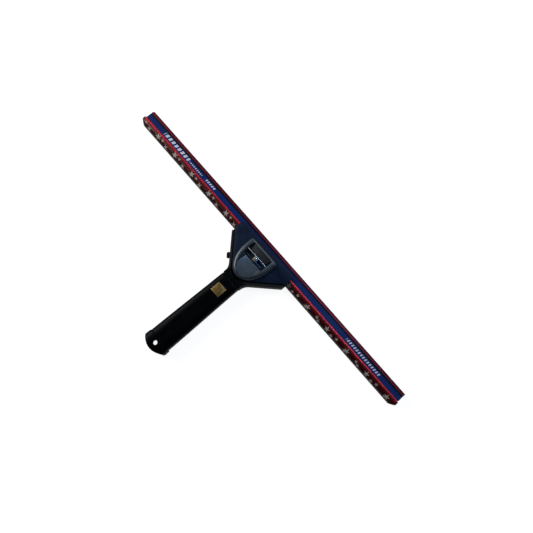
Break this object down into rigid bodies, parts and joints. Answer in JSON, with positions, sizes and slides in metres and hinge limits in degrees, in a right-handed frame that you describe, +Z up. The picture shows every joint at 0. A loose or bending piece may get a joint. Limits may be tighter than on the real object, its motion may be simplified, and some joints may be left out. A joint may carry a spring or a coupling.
{
  "type": "window squeegee",
  "caption": "Hand squeegee with a sprung clamp handle that holds a wide aluminium channel and its replaceable rubber blade.",
  "frame": {"origin": "middle of the underside's bounding rectangle, on the surface that the tool lies on", "axes": "+X along the blade, +Y from the handle's end towards the blade's edge, +Z up out of the thumb lever"},
  "size_m": [0.457, 0.186, 0.022],
  "materials": {
    "frame_plastic": "fine moulded texture, charcoal black",
    "grip_rubber": "soft black",
    "cap_plastic": "black, satin",
    "screw_steel": "zinc plated",
    "badge_brass": "brushed",
    "pin_steel": "ground",
    "pad_rubber": "matt",
    "spring_steel": "drawn wire",
    "plate_plastic": "navy black, fine grain",
    "lever_plastic": "glossy grey blue",
    "clip_steel": "stainless",
    "clip_brass": "turned brass",
    "lock_plastic": "black",
    "channel_red": "red anodised, with small pale stars etched along the back",
    "label_blue": "blue film with plain pale bars",
    "blade_rubber": "smooth, cut edge",
    "plug_plastic": "black"
  },
  "bodies": {
    "handle": {"frame": "frame_plastic", "grip_sleeve": "grip_rubber", "end_cap": "cap_plastic", "cap_screw": "screw_steel", "badge": "badge_brass", "hinge_pin": "pin_steel", "base_pad": "pad_rubber", "jaw_spring": "spring_steel"},
    "jaw": {"jaw_plate": "plate_plastic", "thumb_lever": "lever_plastic", "lever_clip": "clip_steel", "clip_screw": "clip_brass", "clip_nut": "screw_steel", "jaw_pad": "pad_rubber"},
    "lock": {"lock_button": "lock_plastic", "lock_ring": "pad_rubber"},
    "blade_channel": {"channel": "channel_red", "label_strip": "label_blue"},
    "rubber": {"blade_rubber": "blade_rubber"},
    "left_plug": {"end_plug_left": "plug_plastic"},
    "right_plug": {"end_plug_right": "plug_plastic"}
  },
  "joints": [
    {"name": "jaw_hinge", "type": "hinge", "parent": "handle", "child": "jaw", "pos_m": [0, 0.05783, 0.0095], "axis": [1, 0, 0], "range_deg": [0, 6], "stiffness_Nm_per_rad": 0.6, "springref_deg": -14.32, "deforming": ["jaw_spring"]},
    {"name": "lock_slide", "type": "slide", "parent": "handle", "child": "lock", "axis": [-0.7071, -0.7071, 0], "range_m": [-0.0015, 0]},
    {"name": "channel_slide", "type": "slide", "parent": "handle", "child": "blade_channel", "axis": [1, 0, 0], "range_m": [-0.15, 0.15]},
    {"name": "rubber_slide", "type": "slide", "parent": "blade_channel", "child": "rubber", "axis": [1, 0, 0], "range_m": [-0.1, 0.1]},
    {"name": "left_plug_pull", "type": "slide", "parent": "blade_channel", "child": "left_plug", "axis": [-1, 0, 0], "range_m": [0, 0.013]},
    {"name": "right_plug_pull", "type": "slide", "parent": "blade_channel", "child": "right_plug", "axis": [1, 0, 0], "range_m": [0, 0.013]}
  ]
}
